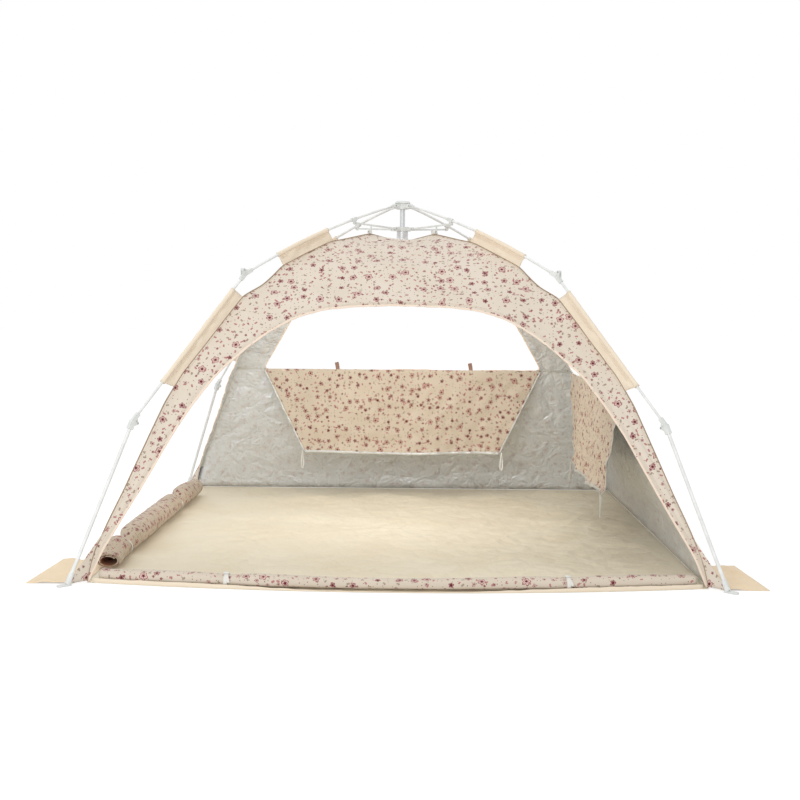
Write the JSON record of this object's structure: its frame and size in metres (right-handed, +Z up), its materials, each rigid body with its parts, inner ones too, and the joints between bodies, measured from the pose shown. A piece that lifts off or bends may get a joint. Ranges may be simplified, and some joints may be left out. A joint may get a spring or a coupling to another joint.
{
  "type": "beach tent",
  "caption": "Square pop-up beach tent hung inside an umbrella-style folding frame, with rolled-up arch doors and open windows whose flaps hang inside.",
  "frame": {"origin": "on the ground in the middle of the tent, under the hub", "axes": "+Z up, the front door faces -Y, +X to the right as seen from the front"},
  "size_m": [2.524, 2.2868, 1.383],
  "materials": {
    "white_rod": "white powder coat on fibreglass and steel rod",
    "white_plastic": "moulded white plastic",
    "grey_metal": "satin tube",
    "printed_cloth": "polyester with a small floral print outside and a silver coating inside",
    "rolled_cloth": "rolled printed polyester",
    "floor_cloth": "woven polyethylene sheet, cream",
    "flap_cloth": "printed polyester, silver edges",
    "hem_cloth": "peach polyester binding"
  },
  "bodies": {
    "shelter": {"floor_sheet": "floor_cloth", "canopy_front": "printed_cloth", "canopy_rear": "printed_cloth", "canopy_left": "printed_cloth", "canopy_right": "printed_cloth", "front_door_roll": "rolled_cloth", "left_door_roll": "rolled_cloth"},
    "hub": {"hub_body": "white_plastic", "hub_cap": "white_plastic", "hub_rod": "grey_metal"},
    "runner": {"runner": "white_plastic", "runner_tube": "grey_metal"},
    "arm_rear_right": {"arm_pole_rear_right": "white_rod", "arm_bracket_rear_right": "white_plastic", "arm_knuckle_rear_right": "white_plastic"},
    "mid_rear_right": {"mid_pole_rear_right": "white_rod", "mid_knuckle_top_rear_right": "white_plastic", "mid_knuckle_bottom_rear_right": "white_plastic"},
    "leg_rear_right": {"leg_pole_rear_right": "white_rod", "leg_knuckle_rear_right": "white_plastic", "foot_rear_right": "white_plastic"},
    "strut_rear_right": {"strut_rear_right": "white_plastic"},
    "arm_rear_left": {"arm_pole_rear_left": "white_rod", "arm_bracket_rear_left": "white_plastic", "arm_knuckle_rear_left": "white_plastic"},
    "mid_rear_left": {"mid_pole_rear_left": "white_rod", "mid_knuckle_top_rear_left": "white_plastic", "mid_knuckle_bottom_rear_left": "white_plastic"},
    "leg_rear_left": {"leg_pole_rear_left": "white_rod", "leg_knuckle_rear_left": "white_plastic", "foot_rear_left": "white_plastic"},
    "strut_rear_left": {"strut_rear_left": "white_plastic"},
    "arm_front_left": {"arm_pole_front_left": "white_rod", "arm_bracket_front_left": "white_plastic", "arm_knuckle_front_left": "white_plastic"},
    "mid_front_left": {"mid_pole_front_left": "white_rod", "mid_knuckle_top_front_left": "white_plastic", "mid_knuckle_bottom_front_left": "white_plastic"},
    "leg_front_left": {"leg_pole_front_left": "white_rod", "leg_knuckle_front_left": "white_plastic", "foot_front_left": "white_plastic"},
    "strut_front_left": {"strut_front_left": "white_plastic"},
    "arm_front_right": {"arm_pole_front_right": "white_rod", "arm_bracket_front_right": "white_plastic", "arm_knuckle_front_right": "white_plastic"},
    "mid_front_right": {"mid_pole_front_right": "white_rod", "mid_knuckle_top_front_right": "white_plastic", "mid_knuckle_bottom_front_right": "white_plastic"},
    "leg_front_right": {"leg_pole_front_right": "white_rod", "leg_knuckle_front_right": "white_plastic", "foot_front_right": "white_plastic"},
    "strut_front_right": {"strut_front_right": "white_plastic"},
    "rear_hem": {"rear_window_hem": "hem_cloth"},
    "rear_flap": {"rear_flap": "flap_cloth"},
    "right_hem": {"right_window_hem": "hem_cloth"},
    "right_flap": {"right_flap": "flap_cloth"}
  },
  "joints": [
    {"name": "fold", "type": "slide", "parent": "shelter", "child": "hub", "axis": [0, 0, -1], "range_m": [0, 0.316], "deforming": ["canopy_front", "canopy_rear", "canopy_left", "canopy_right"]},
    {"name": "runner_slide", "type": "slide", "parent": "hub", "child": "runner", "axis": [0, 0, -1], "range_m": [0, 0.35991]},
    {"name": "arm_turn_rear_right", "type": "hinge", "parent": "hub", "child": "arm_rear_right", "pos_m": [0.03253, 0.03253, 1.362], "axis": [-0.7071, 0.7071, 0], "range_deg": [0, 56]},
    {"name": "mid_turn_rear_right", "type": "hinge", "parent": "arm_rear_right", "child": "mid_rear_right", "pos_m": [0.58897, 0.58897, 1.07866], "axis": [0.7071, -0.7071, 0], "range_deg": [0, 198.5]},
    {"name": "leg_turn_rear_right", "type": "hinge", "parent": "mid_rear_right", "child": "leg_rear_right", "pos_m": [0.91783, 0.91783, 0.53336], "axis": [-0.7071, 0.7071, 0], "range_deg": [0, 161]},
    {"name": "strut_turn_rear_right", "type": "hinge", "parent": "runner", "child": "strut_rear_right", "pos_m": [0.03535, 0.03535, 1.267], "axis": [0.7071, -0.7071, 0], "range_deg": [0, 72.89]},
    {"name": "arm_turn_rear_left", "type": "hinge", "parent": "hub", "child": "arm_rear_left", "pos_m": [-0.03253, 0.03253, 1.362], "axis": [-0.7071, -0.7071, 0], "range_deg": [0, 56]},
    {"name": "mid_turn_rear_left", "type": "hinge", "parent": "arm_rear_left", "child": "mid_rear_left", "pos_m": [-0.58897, 0.58897, 1.07866], "axis": [0.7071, 0.7071, 0], "range_deg": [0, 198.5]},
    {"name": "leg_turn_rear_left", "type": "hinge", "parent": "mid_rear_left", "child": "leg_rear_left", "pos_m": [-0.91783, 0.91783, 0.53336], "axis": [-0.7071, -0.7071, 0], "range_deg": [0, 161]},
    {"name": "strut_turn_rear_left", "type": "hinge", "parent": "runner", "child": "strut_rear_left", "pos_m": [-0.03535, 0.03535, 1.267], "axis": [0.7071, 0.7071, 0], "range_deg": [0, 72.89]},
    {"name": "arm_turn_front_left", "type": "hinge", "parent": "hub", "child": "arm_front_left", "pos_m": [-0.03253, -0.03253, 1.362], "axis": [0.7071, -0.7071, 0], "range_deg": [0, 56]},
    {"name": "mid_turn_front_left", "type": "hinge", "parent": "arm_front_left", "child": "mid_front_left", "pos_m": [-0.58897, -0.58897, 1.07866], "axis": [-0.7071, 0.7071, 0], "range_deg": [0, 198.5]},
    {"name": "leg_turn_front_left", "type": "hinge", "parent": "mid_front_left", "child": "leg_front_left", "pos_m": [-0.91783, -0.91783, 0.53336], "axis": [0.7071, -0.7071, 0], "range_deg": [0, 161]},
    {"name": "strut_turn_front_left", "type": "hinge", "parent": "runner", "child": "strut_front_left", "pos_m": [-0.03535, -0.03535, 1.267], "axis": [-0.7071, 0.7071, 0], "range_deg": [0, 72.89]},
    {"name": "arm_turn_front_right", "type": "hinge", "parent": "hub", "child": "arm_front_right", "pos_m": [0.03253, -0.03253, 1.362], "axis": [0.7071, 0.7071, 0], "range_deg": [0, 56]},
    {"name": "mid_turn_front_right", "type": "hinge", "parent": "arm_front_right", "child": "mid_front_right", "pos_m": [0.58897, -0.58897, 1.07866], "axis": [-0.7071, -0.7071, 0], "range_deg": [0, 198.5]},
    {"name": "leg_turn_front_right", "type": "hinge", "parent": "mid_front_right", "child": "leg_front_right", "pos_m": [0.91783, -0.91783, 0.53336], "axis": [0.7071, 0.7071, 0], "range_deg": [0, 161]},
    {"name": "strut_turn_front_right", "type": "hinge", "parent": "runner", "child": "strut_front_right", "pos_m": [0.03535, -0.03535, 1.267], "axis": [-0.7071, -0.7071, 0], "range_deg": [0, 72.89]},
    {"name": "rear_hem_drop", "type": "slide", "parent": "shelter", "child": "rear_hem", "axis": [0, 0, -1], "range_m": [0, 0.6]},
    {"name": "rear_flap_swing", "type": "hinge", "parent": "rear_hem", "child": "rear_flap", "pos_m": [0, 0.80916, 0.63], "axis": [-1, 0, 0], "range_deg": [0, 144], "deforming": ["rear_flap"]},
    {"name": "right_hem_drop", "type": "slide", "parent": "shelter", "child": "right_hem", "axis": [0, 0, -1], "range_m": [0, 0.6]},
    {"name": "right_flap_swing", "type": "hinge", "parent": "right_hem", "child": "right_flap", "pos_m": [0.80916, 0, 0.63], "axis": [0, 1, 0], "range_deg": [0, 144], "deforming": ["right_flap"]}
  ],
  "couplings": [
    {"joint": "runner_slide", "follows": "fold", "ratio": 1.139},
    {"joint": "arm_turn_rear_right", "follows": "fold", "rad_per_m": 3.093},
    {"joint": "mid_turn_rear_right", "follows": "fold", "rad_per_m": 10.964},
    {"joint": "leg_turn_rear_right", "follows": "fold", "rad_per_m": 8.8923},
    {"joint": "strut_turn_rear_right", "follows": "fold", "rad_per_m": 4.0259},
    {"joint": "arm_turn_rear_left", "follows": "fold", "rad_per_m": 3.093},
    {"joint": "mid_turn_rear_left", "follows": "fold", "rad_per_m": 10.964},
    {"joint": "leg_turn_rear_left", "follows": "fold", "rad_per_m": 8.8923},
    {"joint": "strut_turn_rear_left", "follows": "fold", "rad_per_m": 4.0259},
    {"joint": "arm_turn_front_left", "follows": "fold", "rad_per_m": 3.093},
    {"joint": "mid_turn_front_left", "follows": "fold", "rad_per_m": 10.964},
    {"joint": "leg_turn_front_left", "follows": "fold", "rad_per_m": 8.8923},
    {"joint": "strut_turn_front_left", "follows": "fold", "rad_per_m": 4.0259},
    {"joint": "arm_turn_front_right", "follows": "fold", "rad_per_m": 3.093},
    {"joint": "mid_turn_front_right", "follows": "fold", "rad_per_m": 10.964},
    {"joint": "leg_turn_front_right", "follows": "fold", "rad_per_m": 8.8923},
    {"joint": "strut_turn_front_right", "follows": "fold", "rad_per_m": 4.0259},
    {"joint": "rear_hem_drop", "follows": "fold", "ratio": 1.8987},
    {"joint": "right_hem_drop", "follows": "fold", "ratio": 1.8987}
  ]
}
